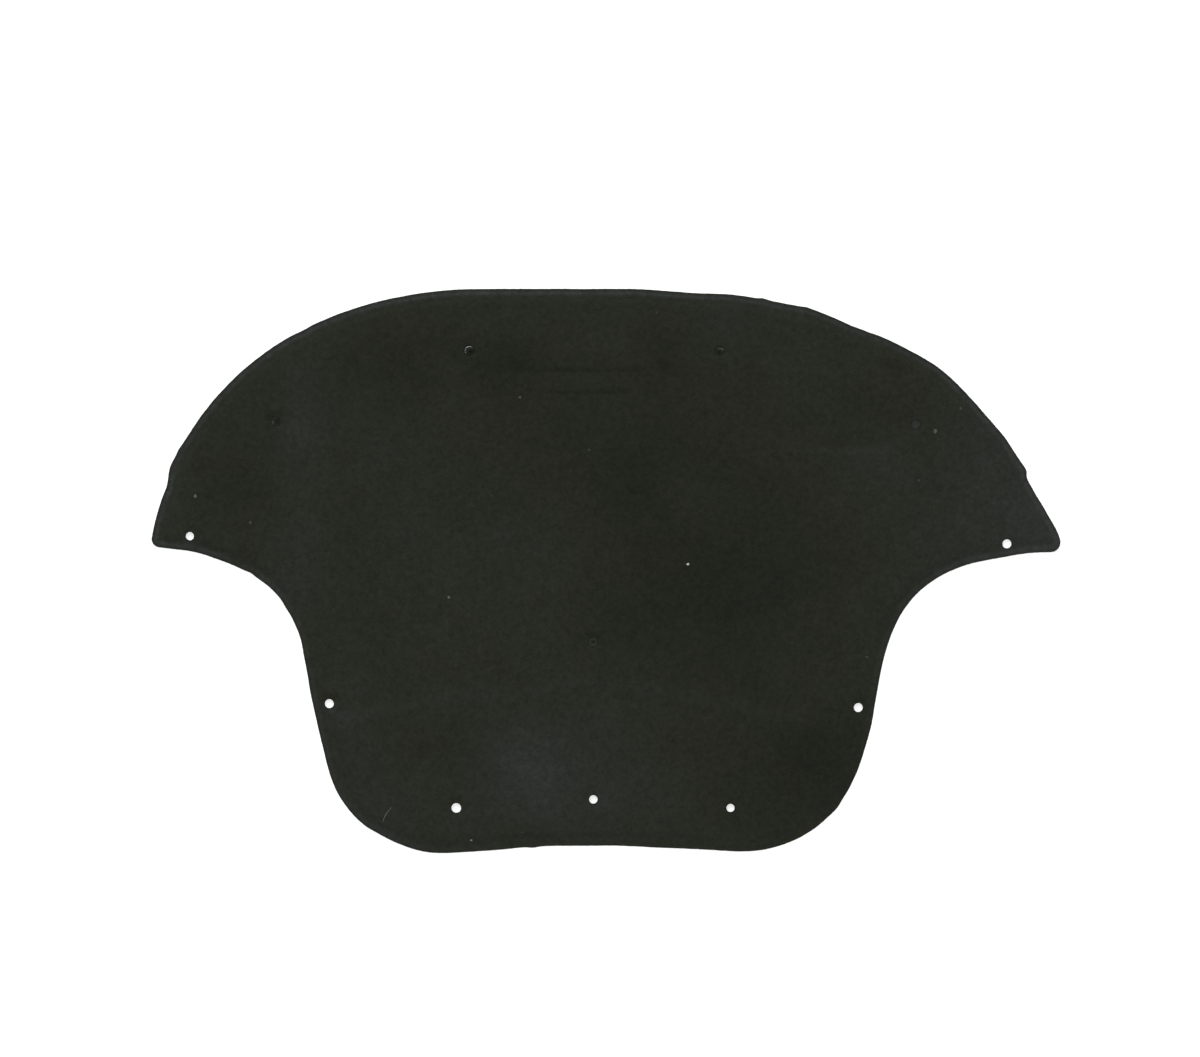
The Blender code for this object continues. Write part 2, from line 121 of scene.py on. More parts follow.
def inwardOf(loop):
    ahead = np.roll(loop, -1, axis=0) - np.roll(loop, 1, axis=0)
    ahead /= np.linalg.norm(ahead, axis=1)[:, None]
    inward = np.column_stack([-ahead[:, 1], ahead[:, 0]])
    area = (loop[:, 0] * np.roll(loop[:, 1], -1) - loop[:, 1] * np.roll(loop[:, 0], -1)).sum()
    return inward * np.sign(area)


def ringAt(centre, radius, sides):
    turns = np.linspace(0, 2 * math.pi, sides, endpoint=False)
    return np.array(centre) + radius * np.column_stack([np.cos(turns), np.sin(turns)])


def newPiece(name, verts, faces, materialMade, masks=None):
    mesh = bpy.data.meshes.new(name)
    mesh.from_pydata([tuple(v) for v in verts], [], [tuple(f) for f in faces])
    mesh.materials.append(materialMade)
    mesh.shade_smooth()
    for maskName, values in (masks or {}).items():
        layer = mesh.attributes.new(maskName, "FLOAT", "POINT")
        layer.data.foreach_set("value", np.asarray(values, np.float32))
    piece = bpy.data.objects.new(name, mesh)
    bpy.context.scene.collection.objects.link(piece)
    return piece


# shader helpers

def newGroup(name, inputs, outputs):
    group = bpy.data.node_groups.new(name, "ShaderNodeTree")
    for socketName, kind, value in inputs:
        socket = group.interface.new_socket(socketName, in_out="INPUT", socket_type=kind)
        if value is not None:
            socket.default_value = value
    for socketName, kind in outputs:
        group.interface.new_socket(socketName, in_out="OUTPUT", socket_type=kind)
    return group, group.nodes.new("NodeGroupInput"), group.nodes.new("NodeGroupOutput")


def mathNode(tree, operation, first, second=None, third=None, clamp=False):
    node = tree.nodes.new("ShaderNodeMath")
    node.operation = operation
    node.use_clamp = clamp
    for socket, value in zip(node.inputs, (first, second, third)):
        if isinstance(value, (int, float)):
            socket.default_value = value
        elif value is not None:
            tree.links.new(value, socket)
    return node.outputs[0]


def noiseNode(tree, vector, scale, detail=2.0, roughness=0.5, distortion=0.0):
    node = tree.nodes.new("ShaderNodeTexNoise")
    tree.links.new(vector, node.inputs["Vector"])
    if isinstance(scale, (int, float)):
        node.inputs["Scale"].default_value = scale
    else:
        tree.links.new(scale, node.inputs["Scale"])
    node.inputs["Detail"].default_value = detail
    node.inputs["Roughness"].default_value = roughness
    node.inputs["Distortion"].default_value = distortion
    return node.outputs["Fac"]


def stretched(tree, vector, angle, squeeze):
    # turns and then squeezes the coordinates, so that noise on them draws fibres that lie one way
    node = tree.nodes.new("ShaderNodeMapping")
    node.vector_type = "TEXTURE"
    node.inputs["Rotation"].default_value = (0, 0, math.radians(angle))
    node.inputs["Scale"].default_value = (1 / squeeze, 1, 1)
    tree.links.new(vector, node.inputs["Vector"])
    return node.outputs["Vector"]


def crossedFibres(group, vector, scale):
    # the strongest of three noises, each drawn out another way
    fibres = None
    for angle, squeeze in ((17, 0.16), (-41, 0.14), (76, 0.18)):
        strands = noiseNode(group, stretched(group, vector, angle, squeeze), scale, 2.0, 0.55, 1.0)
        fibres = strands if fibres is None else mathNode(group, "MAXIMUM", fibres, strands)
    return mathNode(group, "SUBTRACT", fibres, 0.6)


def feltGrainGroup():
    group, given, made = newGroup(
        "feltGrain",
        [
            ("Vector", "NodeSocketVector", None),
            ("Grain per Metre", "NodeSocketFloat", 230.0),
            ("Grain Contrast", "NodeSocketFloat", 0.3),
            ("Fibre per Metre", "NodeSocketFloat", 700.0),
            ("Fibre Contrast", "NodeSocketFloat", 0.2),
            ("Fibre Depth", "NodeSocketFloat", 0.7),
            ("Fuzz per Metre", "NodeSocketFloat", 1500.0),
            ("Fuzz Contrast", "NodeSocketFloat", 0.8),
            ("Fuzz Depth", "NodeSocketFloat", 0.5),
        ],
        [("Shade", "NodeSocketFloat"), ("Height", "NodeSocketFloat")],
    )
    vector = given.outputs["Vector"]
    grain = noiseNode(group, vector, given.outputs["Grain per Metre"], 4.0, 0.62, 0.4)
    fibres = crossedFibres(group, vector, given.outputs["Fibre per Metre"])
    fuzz = crossedFibres(group, vector, given.outputs["Fuzz per Metre"])
    centredGrain = mathNode(group, "SUBTRACT", grain, 0.5)
    shade = mathNode(group, "MULTIPLY_ADD", centredGrain, given.outputs["Grain Contrast"], 1.0)
    shade = mathNode(group, "MULTIPLY_ADD", fibres, given.outputs["Fibre Contrast"], shade)
    shade = mathNode(group, "MULTIPLY_ADD", fuzz, given.outputs["Fuzz Contrast"], shade)
    group.links.new(shade, made.inputs["Shade"])
    height = mathNode(group, "MULTIPLY_ADD", fibres, given.outputs["Fibre Depth"], centredGrain)
    height = mathNode(group, "MULTIPLY_ADD", fuzz, given.outputs["Fuzz Depth"], height)
    group.links.new(height, made.inputs["Height"])
    return group


def mottleGroup():
    group, given, made = newGroup(
        "softMottle",
        [
            ("Vector", "NodeSocketVector", None),
            ("Patches per Metre", "NodeSocketFloat", 9.0),
            ("Spread", "NodeSocketFloat", 1.5),
        ],
        [("Mask", "NodeSocketFloat")],
    )
    cloud = noiseNode(group, given.outputs["Vector"], given.outputs["Patches per Metre"], 3.0, 0.55, 0.3)
    centred = mathNode(group, "SUBTRACT", cloud, 0.5)
    mask = mathNode(group, "MULTIPLY_ADD", centred, given.outputs["Spread"], 0.5, clamp=True)
    group.links.new(mask, made.inputs["Mask"])
    return group


def addGroup(tree, group, values, vector):
    node = tree.nodes.new("ShaderNodeGroup")
    node.node_tree = group
    for name, value in values.items():
        node.inputs[name].default_value = value
    tree.links.new(vector, node.inputs["Vector"])
    return node


def newMaterial(name, look):
    made = bpy.data.materials.new(name)
    made.use_nodes = True
    shader = made.node_tree.nodes["Principled BSDF"]
    shader.inputs["Roughness"].default_value = look["roughness"]
    shader.inputs["Specular IOR Level"].default_value = look["specular"]
    shader.inputs["Sheen Weight"].default_value = look["sheen"]
    shader.inputs["Sheen Roughness"].default_value = look["sheenRoughness"]
    return made, made.node_tree, shader


def maskNode(tree, name):
    node = tree.nodes.new("ShaderNodeAttribute")
    node.attribute_name = name
    return node.outputs["Fac"]


def scaled(tree, colour, amount):
    node = tree.nodes.new("ShaderNodeVectorMath")
    node.operation = "SCALE"
    tree.links.new(colour, node.inputs[0])
    tree.links.new(amount, node.inputs["Scale"])
    return node.outputs[0]


def mixed(tree, share, first, second):
    node = tree.nodes.new("ShaderNodeMix")
    node.data_type = "RGBA"
    for name, value in (("A", first), ("B", second)):
        socket = [s for s in node.inputs if s.name == name and s.type == "RGBA"][0]
        if isinstance(value, tuple):
            socket.default_value = (*value, 1)
        else:
            tree.links.new(value, socket)
    factor = [s for s in node.inputs if s.name == "Factor" and s.type == "VALUE"][0]
    tree.links.new(share, factor)
    return [s for s in node.outputs if s.type == "RGBA"][0]


feltLook = {
    "olive": (0.0199, 0.0210, 0.0143),
    "moss": (0.0183, 0.0212, 0.0147),
    "slate": (0.0186, 0.0207, 0.0182),
    "roughness": 0.95,
    "specular": 0.08,
    "sheen": 0.04,
    "sheenRoughness": 0.5,
    "grain": {
        "Grain per Metre": 175.0, "Grain Contrast": 1.0,
        "Fibre per Metre": 520.0, "Fibre Contrast": 0.6, "Fibre Depth": 0.7,
        "Fuzz per Metre": 1700.0, "Fuzz Contrast": 1.1, "Fuzz Depth": 0.8,
    },
    "mottle": {"Patches per Metre": 8.0, "Spread": 1.6},
    "lightIsSlate": 2.2,
    "slateEverywhere": 0.12,
    "reliefDepth": 0.00035,
    "reliefStrength": 0.6,
    "pressedShine": -0.12,
}

grainGroup = feltGrainGroup()
softMottle = mottleGroup()


def feltMaterial(look):
    made, tree, shader = newMaterial("blackFelt", look)
    place = tree.nodes.new("ShaderNodeTexCoord").outputs["Object"]
    grain = addGroup(tree, grainGroup, look["grain"], place)
    mottle = addGroup(tree, softMottle, look["mottle"], place)
    # the tone mask holds the nap's own lightness together with the painted highlight and shade laid into the pad
    # and the slugs
    tone = maskNode(tree, "tone")
    lighter = mathNode(tree, "SUBTRACT", tone, 1.0)
    slateShare = mathNode(tree, "MULTIPLY_ADD", lighter, look["lightIsSlate"], look["slateEverywhere"], clamp=True)
    colour = mixed(tree, mottle.outputs["Mask"], look["olive"], look["moss"])
    colour = mixed(tree, slateShare, colour, look["slate"])
    shade = mathNode(tree, "MULTIPLY", grain.outputs["Shade"], tone)
    tree.links.new(scaled(tree, colour, shade), shader.inputs["Base Color"])
    rough = mathNode(tree, "MULTIPLY_ADD", maskNode(tree, "pressed"), look["pressedShine"], look["roughness"])
    tree.links.new(rough, shader.inputs["Roughness"])
    bump = tree.nodes.new("ShaderNodeBump")
    bump.inputs["Strength"].default_value = look["reliefStrength"]
    bump.inputs["Distance"].default_value = look["reliefDepth"]
    tree.links.new(grain.outputs["Height"], bump.inputs["Height"])
    tree.links.new(bump.outputs["Normal"], shader.inputs["Normal"])
    return made


blackFelt = feltMaterial(feltLook)
print("felt material made")


# the pad

pad = {
    "thickness": 0.0080,
    "rimThickness": 0.0030,
    "rimWidth": 0.0078,
    "shoulderWidth": 0.0108,
    "edgeStep": 0.0024,
    "faceStep": 0.0038,
    "backStep": 0.0120,
    "rimRings": (
        0.0005, 0.0013, 0.0030, 0.0052, 0.0074, 0.0091, 0.0104, 0.0117,
        0.0130, 0.0143, 0.0157, 0.0174, 0.0195, 0.0222,
    ),
    "backRings": (0.0007, 0.0060),
    "holeSides": 56,
    "holeRings": (0.0004, 0.0010, 0.0018, 0.0030, 0.0046),
    "backHoleRings": (0.0006,),
    "ringSlack": 0.0002,
    "ringGap": 0.0006,
    "gridGap": 0.0024,
    "cutRound": 0.0007,
    "backRound": 0.0003,
    "lipDrop": 0.0008,
    "lipWidth": 0.0012,
    "wallRows": 4,
    "wallRagged": 0.00016,
    "wallRipples": ((0.0021, 31), (0.008, 35)),
    "waves": ((0.075, 0.00036), (0.028, 0.00015), (0.0095, 0.00006)),
    "rimWaves": ((0.034, 0.00022), (0.011, 0.00010)),
    "dimpleDepth": 0.0006,
    "dimpleReach": 0.0075,
    "wallBulge": 0.0001,
    "wallTone": 0.75,
    "backTone": 0.92,
    "foldUneven": 0.3,
    "foldPitch": 0.05,
    "slugReach": 0.012,
    "filledLipShade": 0.06,
    "openLipShade": 0.35,
    "lipShadeWidth": 0.0010,
    "clipShadeAt": 0.0095,
    "clipShadeWidth": 0.0045,
}

# clip holes the punch left wider or narrower: where, and by how much
punchedOff = (
    (-0.499, 0.042, -0.0004),
    (-0.180, -0.284, 0.0004),
    (-0.015, -0.274, -0.0003),
    (0.149, -0.284, -0.0005),
)

# painted shade and light in the shallow dimples round the clips: where, how much darker behind (painted shade on
# the rear slope), how much lighter in front (painted light on the front slope)
dimpleShadeAndLight = (
    (-0.332, -0.159, 0.26, 0.22),
    (0.303, -0.164, 0.20, 0.02),
    (-0.015, -0.085, 0.24, 0.10),
    (-0.499, 0.042, 0.08, 0.16),
    (0.481, 0.033, 0.10, 0.14),
    (-0.396, 0.179, 0.22, -0.06),
    (0.371, 0.175, 0.08, 0.0),
    (-0.015, -0.274, 0.12, 0.0),
    (-0.180, -0.284, 0.22, 0.10),
    (0.149, -0.284, 0.08, -0.05),
    (-0.164, 0.264, 0.12, 0.05),
    (0.137, 0.264, 0.08, 0.05),
)

handCut = {
    "ripples": ((0.055, 0.00022), (0.018, 0.00020), (0.0065, 0.00014)),
    "out": 0.00015,
    "rearOut": 0.0002,
    # bumps and nicks left by the knife: where, how far out, how long
    "nicks": (
        (0.189, 0.327, 0.0011, 0.006),
        (0.241, 0.316, 0.0009, 0.006),
        (0.479, 0.160, 0.0012, 0.020),
        (0.541, 0.047, 0.0007, 0.008),
        (0.318, -0.186, 0.0008, 0.020),
        (0.277, -0.285, 0.0010, 0.009),
        (0.013, -0.329, -0.0010, 0.030),
        (-0.087, -0.332, 0.0013, 0.007),
        (-0.126, -0.334, 0.0007, 0.024),
        (-0.367, -0.081, -0.0010, 0.016),
        (-0.384, -0.045, 0.0008, 0.009),
        (-0.426, -0.003, -0.0010, 0.006),
        (-0.513, 0.146, 0.0007, 0.006),
        (-0.363, 0.289, -0.0009, 0.011),
    ),
}

# raised folds and pressed-in lines in the face; each one's tone is painted light along it: a painted highlight
# along the raised folds and painted shade in the two pressed-in lines
folds = [
    {
        "path": (
            (-0.316, -0.180), (-0.184, -0.151), (-0.105, -0.150), (-0.027, -0.131),
            (0.047, -0.142), (0.115, -0.154), (0.268, -0.186),
        ),
        "height": 0.0011,
        "halfWidth": 0.015,
        "tone": 0.12,
        "toneWidth": 0.0062,
    },
    {
        "path": ((0.199, 0.150), (0.302, 0.142), (0.372, 0.155)),
        "height": 0.0008,
        "halfWidth": 0.013,
        "tone": 0.17,
        "toneWidth": 0.0046,
        "taper": 0.070,
    },
    {
        "path": ((-0.368, 0.218), (-0.371, 0.171), (-0.364, 0.121)),
        "height": 0.0008,
        "halfWidth": 0.013,
        "tone": 0.0,
        "toneWidth": 0.0060,
    },
    {
        "path": ((-0.096, 0.2413), (-0.023, 0.2413), (0.050, 0.2413)),
        "height": -0.0010,
        "halfWidth": 0.0036,
        "tone": -0.21,
        "toneWidth": 0.0022,
        "taper": 0.010,
    },
    {
        "path": ((-0.082, 0.2149), (-0.022, 0.2149), (0.038, 0.2149)),
        "height": -0.0010,
        "halfWidth": 0.0036,
        "tone": -0.21,
        "toneWidth": 0.0022,
        "taper": 0.010,
    },
]

# slugs that the punch left hanging in five of the holes, with painted highlight and shade on their faces
hangingSlugs = {
    "left_rear": {
        "near": (-0.164, 0.264), "bridge": -58, "swing": 0.45, "kerf": 0.00018, "oval": 0.955, "ragged": 0.00004,
        "tone": 0.95, "marks": (
            (0.0014, -0.0014, 0.0036, 0.0034, -0.80),
            (-0.0002, 0.0044, 0.0026, 0.0013, 1.6),
            (-0.0042, 0.0004, 0.0013, 0.0034, 0.7),
        ),
    },
    "right_rear": {
        "near": (0.137, 0.264), "bridge": 225, "swing": 0.6, "kerf": 0.00003, "oval": 0.985, "ragged": 0.00003,
        "tone": 1.0, "marks": (
            (-0.0008, -0.0020, 0.0026, 0.0020, -0.85),
            (-0.0015, 0.0032, 0.0022, 0.0008, 0.6),
            (0.0012, 0.0026, 0.0022, 0.0008, 1.6),
            (0.0034, 0.0016, 0.0014, 0.0009, 2.6),
        ),
    },
    "left_shoulder": {
        "near": (-0.396, 0.179), "bridge": 30, "swing": 0.5, "kerf": 0.00001, "oval": 0.992, "ragged": 0.00003,
        "tone": 1.0, "marks": (
            (0.0018, 0.0, 0.0028, 0.0034, -0.55),
            (-0.0042, -0.0014, 0.0016, 0.0022, 2.6),
            (0.0000, 0.0046, 0.0030, 0.0010, 0.4),
        ),
    },
    "right_shoulder": {
        "near": (0.371, 0.175), "bridge": 90, "swing": 0.04, "kerf": 0.00003, "oval": 1.0, "ragged": 0.00003,
        "tone": 1.12, "marks": ((0.0, 0.0, 0.0034, 0.0090, 0.50),),
    },
    "middle": {
        "near": (-0.015, -0.085), "bridge": 90, "swing": 0.04, "kerf": 0.00004, "oval": 1.0, "ragged": 0.00004,
        "tone": 1.16, "pilot": True, "marks": (
            (0.0014, -0.0036, 0.0028, 0.0014, 0.50), (0.0, 0.0, 0.0018, 0.0018, -0.60),
        ),
    },
}

# cloudiness of the nap: its pitch and strength
napClouds = ((0.070, 0.06), (0.032, 0.055), (0.015, 0.04))

# lighter and darker areas, mostly of the nap's own tone, with painted light and shade at the right wrinkle: where,
# how wide and high, how much lighter
softPatches = (
    (0.110, 0.030, 0.140, 0.135, -0.26),  # the broad dark area right of the middle
    (0.030, 0.115, 0.040, 0.050, -0.20),
    (0.105, 0.150, 0.070, 0.040, -0.05),
    (0.150, -0.035, 0.060, 0.055, -0.10),
    (0.235, -0.005, 0.050, 0.050, -0.12),
    (0.030, -0.060, 0.070, 0.035, -0.08),
    (-0.060, 0.000, 0.090, 0.050, 0.07),
    (0.105, 0.081, 0.033, 0.033, 0.19),
    (0.251, -0.233, 0.085, 0.070, -0.31),  # the dark front right corner
    (0.150, -0.270, 0.050, 0.040, -0.10),
    (0.145, -0.110, 0.065, 0.040, -0.13),
    (-0.093, -0.225, 0.055, 0.050, 0.28),  # the light area at the front
    (-0.040, -0.280, 0.120, 0.050, 0.22),
    (-0.025, -0.195, 0.060, 0.050, 0.10),
    (-0.200, -0.020, 0.050, 0.060, 0.08),
    (-0.075, -0.055, 0.035, 0.030, 0.05),
    (-0.165, -0.155, 0.030, 0.030, 0.05),
    (-0.200, -0.228, 0.030, 0.030, -0.04),
    (-0.300, -0.190, 0.040, 0.060, 0.08),
    (-0.313, -0.177, 0.012, 0.010, 0.18),
    (-0.280, -0.285, 0.060, 0.055, 0.13),
    (-0.366, 0.150, 0.032, 0.130, 0.16),  # the light band behind the left wing
    (-0.357, 0.170, 0.022, 0.030, 0.08),
    (-0.365, 0.000, 0.035, 0.060, 0.10),
    (-0.446, 0.108, 0.045, 0.045, -0.14),
    (-0.277, 0.128, 0.035, 0.035, 0.06),
    (0.530, 0.065, 0.080, 0.070, 0.28),  # the light right wing
    (0.450, 0.125, 0.060, 0.110, 0.15),
    # painted light on the front side of the right wrinkle and painted shade just behind it
    (0.330, 0.130, 0.045, 0.045, 0.17),
    (0.291, 0.154, 0.035, 0.008, -0.10),
    (0.320, 0.195, 0.060, 0.035, -0.13),
    (0.385, 0.015, 0.060, 0.050, 0.07),
    (0.520, 0.035, 0.030, 0.012, 0.10),
    (0.371, 0.175, 0.0040, 0.0086, 0.62),
    (-0.245, 0.250, 0.055, 0.045, -0.19),  # the darker rear, round the press lines
    (-0.121, 0.252, 0.050, 0.035, -0.20),
    (-0.080, 0.155, 0.065, 0.050, -0.09),
    (0.000, 0.220, 0.140, 0.060, -0.10),
    (0.068, 0.270, 0.040, 0.040, -0.12),
    (-0.010, 0.272, 0.045, 0.014, 0.12),
    (-0.015, 0.229, 0.050, 0.006, 0.07),
    (0.140, 0.300, 0.060, 0.030, 0.12),
    (-0.105, 0.247, 0.014, 0.008, -0.16),
    (0.069, 0.247, 0.010, 0.008, -0.20),
    (-0.183, 0.225, 0.007, 0.030, 0.08),
    (0.344, 0.248, 0.012, 0.012, -0.14),
    (-0.221, -0.213, 0.008, 0.008, -0.12),
    (-0.403, 0.187, 0.006, 0.006, -0.20),  # beside the left shoulder slug
    (-0.4045, 0.1745, 0.0035, 0.0035, -0.25),
    (-0.395, 0.186, 0.004, 0.0015, 0.20),
    (-0.530, 0.100, 0.036, 0.085, 0.14),
)

# how light the edge is at places along it: partly its pressed, paler nap and partly a painted highlight, strongest
# on the rear edges that face the lamp, with painted shade along the front edges
rimPaleAndHighlight = (
    (-0.200, 0.320, 1.10),
    (0.050, 0.335, 1.20),
    (-0.400, 0.235, 0.85),
    (0.200, 0.310, 0.80),
    (0.380, 0.235, 0.78),
    (-0.520, 0.100, 0.75),
    (0.530, 0.080, 0.60),
    (-0.430, 0.000, 0.42),
    (0.430, -0.005, 0.28),
    (-0.335, -0.150, 0.32),
    (0.315, -0.150, 0.14),
    (-0.250, -0.310, 0.22),
    (0.250, -0.310, -0.14),
    (-0.050, -0.330, -0.14),
    (0.120, -0.330, -0.14),
)

# how far each place reaches, how uneven it is, and the share of its lightness at depths in from the edge
rimProfile = {
    "reach": 0.09,
    "streaks": ((0.022, 0.35), (0.0075, 0.45)),
    "depths": (0.0, 0.0020, 0.0032, 0.0045, 0.0056, 0.0070, 0.0085, 0.0105, 0.0130),
    "shares": (0.10, 0.15, 0.55, 1.0, 0.75, 0.38, 0.12, -0.04, 0.0),
}


def holeOf(loop):
    centre = loop.mean(axis=0)
    radius = np.linalg.norm(loop - centre, axis=1).mean()
    radius += sum(change for x, y, change in punchedOff if np.linalg.norm(centre - (x, y)) < 0.01)
    return centre, radius


loops = backLoops(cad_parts["hood_pad"])
holes = [holeOf(loop) for loop in loops[1:]]
print(len(holes), "clip holes in the frame")


def cutOutline(loop, cut):
    outline = smoothLoop(loop, pad["edgeStep"])
    shift = sum(size * ripple(outline, pitch, layer + 1) for layer, (pitch, size) in enumerate(cut["ripples"]))
    shift = shift + cut["out"] + cut["rearOut"] * np.clip(-inwardOf(outline)[:, 1], 0, 1) ** 0.5
    for x, y, out, length in cut["nicks"]:
        away = np.linalg.norm(outline - (x, y), axis=1)
        shift = shift + out * np.exp(-((away / length) ** 2))
    return outline - inwardOf(outline) * shift[:, None]


outline = cutOutline(loops[0], handCut)
inward = inwardOf(outline)
edgeStrides = np.roll(outline, -1, axis=0) - outline
edgeTree = treeOf(np.vstack([outline + edgeStrides * share for share in (0, 0.25, 0.5, 0.75)]))


def foldPath(path):
    # the fold's line at short steps, through its places
    path = np.array(path)
    slopes = np.gradient(path, axis=0)
    line = []
    for start, end, a, b in zip(path, path[1:], slopes, slopes[1:]):
        for t in np.linspace(0, 1, 60, endpoint=False):
            line.append(
                (2 * t**3 - 3 * t**2 + 1) * start
                + (t**3 - 2 * t**2 + t) * a
                + (3 * t**2 - 2 * t**3) * end
                + (t**3 - t**2) * b
            )
    return np.array(line)


def alongFold(fold, spots):
    # distance from the fold's line, and how far it has grown from its ends
    line = foldPath(fold["path"])
    away, number = nearest(treeOf(line), spots)
    along = np.concatenate([[0], np.cumsum(np.linalg.norm(np.diff(line, axis=0), axis=1))])
    toEnd = np.minimum(along[number], along[-1] - along[number])
    return away, smoothStep(toEnd / min(fold.get("taper", 0.03), along[-1] / 2))


def foldLift(fold, spots):
    away, taper = alongFold(fold, spots)
    return fold["height"] * (0.5 + 0.5 * np.cos(math.pi * np.clip(away / fold["halfWidth"], 0, 1))) * taper


def shoulderShare(depth):
    return smoothStep((depth - pad["rimWidth"]) / pad["shoulderWidth"])


def holeReach(spots):
    # how far each spot lies outside the wall of the nearest clip hole
    return np.min([np.linalg.norm(spots - centre, axis=1) - radius for centre, radius in holes], axis=0)


def faceHeight(spots, depth):
    share = shoulderShare(depth)
    height = pad["rimThickness"] + (pad["thickness"] - pad["rimThickness"]) * share
    for fold in folds:
        height = height + share * foldLift(fold, spots)
    for layer, (pitch, size) in enumerate(pad["waves"]):
        height = height + size * ripple(spots, pitch, layer + 11) * (0.3 + 0.7 * share)
    for layer, (pitch, size) in enumerate(pad["rimWaves"]):
        height = height + size * ripple(spots, pitch, layer + 21) * (1 - share)
    reach = holeReach(spots)
    height = height - pad["lipDrop"] * np.exp(-((reach / pad["lipWidth"]) ** 2))
    height = height - pad["dimpleDepth"] * share * np.exp(-((reach / pad["dimpleReach"]) ** 2))
    cut = np.clip(1 - depth / pad["cutRound"], 0, 1)
    return height - pad["cutRound"] * (1 - np.sqrt(1 - cut * cut))


def rimPaleAndHighlightTone(spots, depth):
    # lightness from the places along the edge, blended between them: the pressed nap's paleness with the painted
    # highlight and shade
    weights = [
        (lightness, np.exp(-((spots[:, 0] - x) ** 2 + (spots[:, 1] - y) ** 2) / rimProfile["reach"] ** 2) + 1e-9)
        for x, y, lightness in rimPaleAndHighlight
    ]
    blended = sum(lightness * weight for lightness, weight in weights) / sum(weight for _, weight in weights)
    streaks = 1
    for layer, (pitch, size) in enumerate(rimProfile["streaks"]):
        streaks = streaks + size * ripple(spots, pitch, layer + 41)
    return 1 + blended * streaks * np.interp(depth, rimProfile["depths"], rimProfile["shares"])


def faceTone(spots, depth):
    # the face's tone: the nap's own lightness with painted highlight and shade from the rim, folds, wrinkle and
    # clip dimples
    tone = rimPaleAndHighlightTone(spots, depth)
    for layer, (pitch, size) in enumerate(napClouds):
        tone *= 1 + size * ripple(spots, pitch, layer + 51)
    for x, y, wide, high, lighter in softPatches:
        tone *= 1 + lighter * np.exp(-(((spots[:, 0] - x) / wide) ** 2 + ((spots[:, 1] - y) / high) ** 2))
    # painted highlight along the raised folds and painted shade in the pressed-in lines
    for fold in folds:
        away, taper = alongFold(fold, spots)
        uneven = 1 + pad["foldUneven"] * ripple(spots, pad["foldPitch"], 45)
        tone *= 1 + fold["tone"] * uneven * taper * np.exp(-((away / fold["toneWidth"]) ** 2))
    # painted shade on the rear slope of each clip dimple and painted light on its front slope
    for x, y, behind, before in dimpleShadeAndLight:
        away = np.hypot(spots[:, 0] - x, spots[:, 1] - y)
        sway = (spots[:, 1] - y) / np.maximum(away, 1e-6)
        ring = np.exp(-(((away - pad["clipShadeAt"]) / pad["clipShadeWidth"]) ** 2))
        tone *= 1 + ring * np.where(sway > 0, -behind * sway, -before * sway)
    toSlug = np.min([np.linalg.norm(spots - style["near"], axis=1) for style in hangingSlugs.values()], axis=0)
    lipShade = np.where(toSlug < pad["slugReach"], pad["filledLipShade"], pad["openLipShade"])
    return tone * (1 - lipShade * np.exp(-((holeReach(spots) / pad["lipShadeWidth"]) ** 2)))


def planMesh(step, ringDepths, holeDepths):
    # the pad's plan in triangles, with rings along its edges and a grid between them
    clear = max(ringDepths) + pad["gridGap"]
    low, high = outline.min(axis=0), outline.max(axis=0)
    xs = np.arange(low[0], high[0], step)
    ys = np.arange(low[1], high[1], step * math.sqrt(0.75))
    grid = np.array([(x + (row % 2) * step / 2, y) for row, y in enumerate(ys) for x in xs])
    gridDepth, _ = nearest(edgeTree, grid)
    keep = (gridDepth > clear) & (holeReach(grid) > max(holeDepths) + pad["gridGap"])
    spots, depths = [outline], [np.zeros(len(outline))]
    edges = [(n, (n + 1) % len(outline)) for n in range(len(outline))]
    count = len(outline)
    for centre, radius in holes:
        ring = ringAt(centre, radius, pad["holeSides"])
        edges += [(count + n, count + (n + 1) % len(ring)) for n in range(len(ring))]
        count += len(ring)
        spots.append(ring)
        depths.append(nearest(edgeTree, ring)[0])
    for centre, radius in holes:
        for reach in holeDepths:
            ring = ringAt(centre, radius + reach, pad["holeSides"])
            spots.append(ring)
            depths.append(nearest(edgeTree, ring)[0])
    for depth in ringDepths:
        ring = outline + depth * inward
        found, _ = nearest(edgeTree, ring)
        kept = (found > depth - pad["ringSlack"]) & (holeReach(ring) > max(holeDepths) + pad["ringGap"])
        spots.append(ring[kept])
        depths.append(np.full(kept.sum(), depth))
    spots.append(grid[keep])
    depths.append(gridDepth[keep])
    spots, depths = np.vstack(spots), np.concatenate(depths)
    made = delaunay_2d_cdt([Vector(spot) for spot in spots], edges, [], 1, 1e-7)
    number = {given: n for n, origins in enumerate(made[3]) for given in origins}
    plan = np.array([tuple(point) for point in made[0]])
    source = np.array([origins[0] if origins else 0 for origins in made[3]])
    faces = np.array(made[2])
    faces = faces[holeReach(plan[faces].mean(axis=1)) > -1e-5]
    return plan, depths[source], faces, [number[n] for n in range(count)]


def wallLoops():
    # the boundary points come first in every plan: the outline, then each hole
    sizes = [len(outline)] + [pad["holeSides"]] * len(holes)
    starts = np.concatenate([[0], np.cumsum(sizes)[:-1]])
    return [list(range(start, start + size)) for start, size in zip(starts, sizes)]


